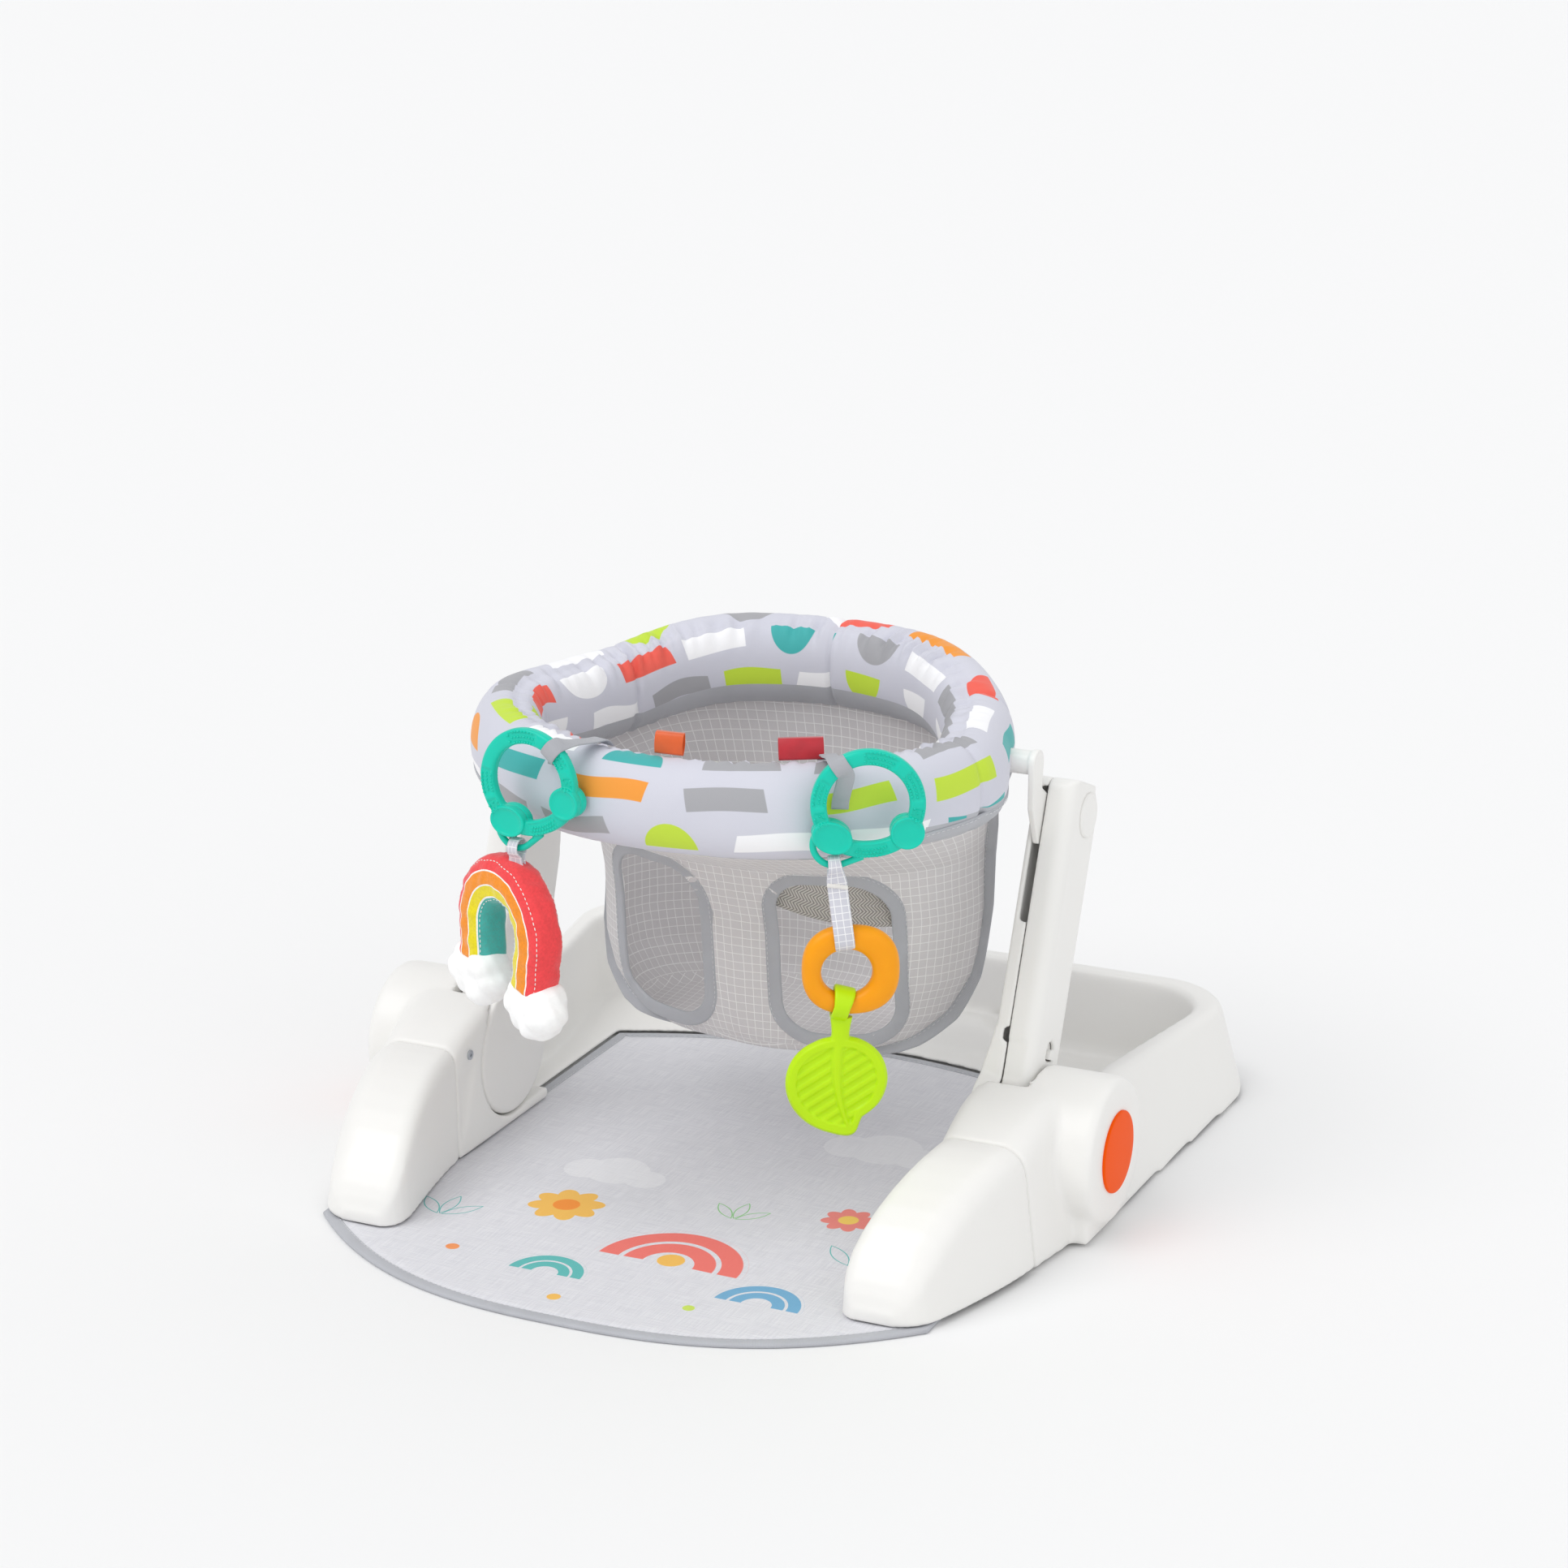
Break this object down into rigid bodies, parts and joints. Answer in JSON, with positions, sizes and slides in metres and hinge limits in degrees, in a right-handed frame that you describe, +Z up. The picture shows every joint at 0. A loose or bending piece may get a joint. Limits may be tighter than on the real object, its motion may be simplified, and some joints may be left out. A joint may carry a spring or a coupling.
{
  "type": "baby floor seat",
  "caption": "Baby floor seat: a padded ring with a cloth sling on two folding uprights, over a wide moulded base with a cloth mat and hanging toys.",
  "frame": {"origin": "centre of the base's footprint, on the floor under the rubber feet", "axes": "+Z up, -Y to the front where the baby looks, +X to the right side seen from the front"},
  "size_m": [0.4748, 0.5203, 0.306],
  "materials": {
    "white_plastic": "soft satin moulded",
    "orange_plastic": "satin",
    "steel": "bright",
    "rubber": "matt",
    "mat_fabric": "heather weave with a print",
    "binding": "woven tape",
    "pad_fabric": "smooth printed cloth",
    "grid_fabric": "cloth with a fine white grid",
    "ribbon": "satin ribbon",
    "teal_plastic": "soft",
    "plush": "smooth knitted",
    "white_plush": "short pile",
    "amber_silicone": "soft",
    "lime_plastic": "soft"
  },
  "bodies": {
    "base": {"rear_tray": "white_plastic", "side_housing_left": "white_plastic", "side_housing_right": "white_plastic", "nose_left": "white_plastic", "nose_right": "white_plastic", "nose_screws": "steel", "feet": "rubber", "mat": "mat_fabric", "mat_binding": "binding", "hub_cap_left": "orange_plastic", "hub_cap_right": "orange_plastic", "hub_axle_left": "steel", "hub_axle_right": "steel"},
    "uprights": {"upright_inner_left": "white_plastic", "upright_inner_right": "white_plastic", "upright_outer_left": "white_plastic", "upright_outer_right": "white_plastic", "pivot_cap_left": "white_plastic", "pivot_cap_right": "white_plastic"},
    "tab_left": {"release_tab_left": "white_plastic"},
    "tab_right": {"release_tab_right": "white_plastic"},
    "seat": {"ring_tube": "steel", "seat_bracket_left": "white_plastic", "seat_bracket_right": "white_plastic", "ring_pad": "pad_fabric", "seat_sling": "grid_fabric", "ribbon_tags": "ribbon", "toy_loop_left": "binding", "toy_loop_right": "binding"},
    "toy_left": {"toy_ring_left": "teal_plastic"},
    "rainbow": {"rainbow": "plush", "rainbow_clouds": "white_plush", "rainbow_strap": "grid_fabric"},
    "toy_right": {"toy_ring_right": "teal_plastic"},
    "teether": {"teether_strap": "grid_fabric", "amber_teether": "amber_silicone"},
    "leaf": {"leaf_teether": "lime_plastic"}
  },
  "joints": [
    {"name": "fold", "type": "hinge", "parent": "base", "child": "uprights", "pos_m": [0, -0.015, 0.05], "axis": [-1, 0, 0], "range_deg": [0, 55]},
    {"name": "seat_level", "type": "hinge", "parent": "uprights", "child": "seat", "pos_m": [0, 0.05694, 0.22369], "axis": [-1, 0, 0], "range_deg": [-55, 0], "deforming": ["seat_sling"]},
    {"name": "tab_left_slide", "type": "slide", "parent": "uprights", "child": "tab_left", "axis": [0, 0.3827, 0.9239], "range_m": [0, 0.004]},
    {"name": "tab_right_slide", "type": "slide", "parent": "uprights", "child": "tab_right", "axis": [0, 0.3827, 0.9239], "range_m": [0, 0.004]},
    {"name": "ring_left_swing", "type": "hinge", "parent": "seat", "child": "toy_left", "pos_m": [-0.04797, -0.15724, 0.29228], "axis": [-0.9945, 0.1045, 0], "range_deg": [0, 8]},
    {"name": "rainbow_swing", "type": "hinge", "parent": "toy_left", "child": "rainbow", "pos_m": [-0.07371, -0.15453, 0.23209], "axis": [-0.9945, 0.1045, 0], "range_deg": [0, 55]},
    {"name": "ring_right_swing", "type": "hinge", "parent": "seat", "child": "toy_right", "pos_m": [0.11237, -0.12822, 0.2969], "axis": [-0.8829, -0.4695, 0], "range_deg": [0, 8]},
    {"name": "teether_swing", "type": "hinge", "parent": "toy_right", "child": "teether", "pos_m": [0.1091, -0.12995, 0.2399], "axis": [-0.9986, 0.0523, 0], "range_deg": [0, 55]},
    {"name": "leaf_swing", "type": "hinge", "parent": "teether", "child": "leaf", "pos_m": [0.11264, -0.12807, 0.1599], "axis": [-0.8552, -0.4547, 0.2487], "range_deg": [-2, 12]}
  ],
  "couplings": [
    {"joint": "seat_level", "follows": "fold", "ratio": -1},
    {"joint": "rainbow_swing", "follows": "fold", "ratio": 1},
    {"joint": "teether_swing", "follows": "fold", "ratio": 1}
  ]
}
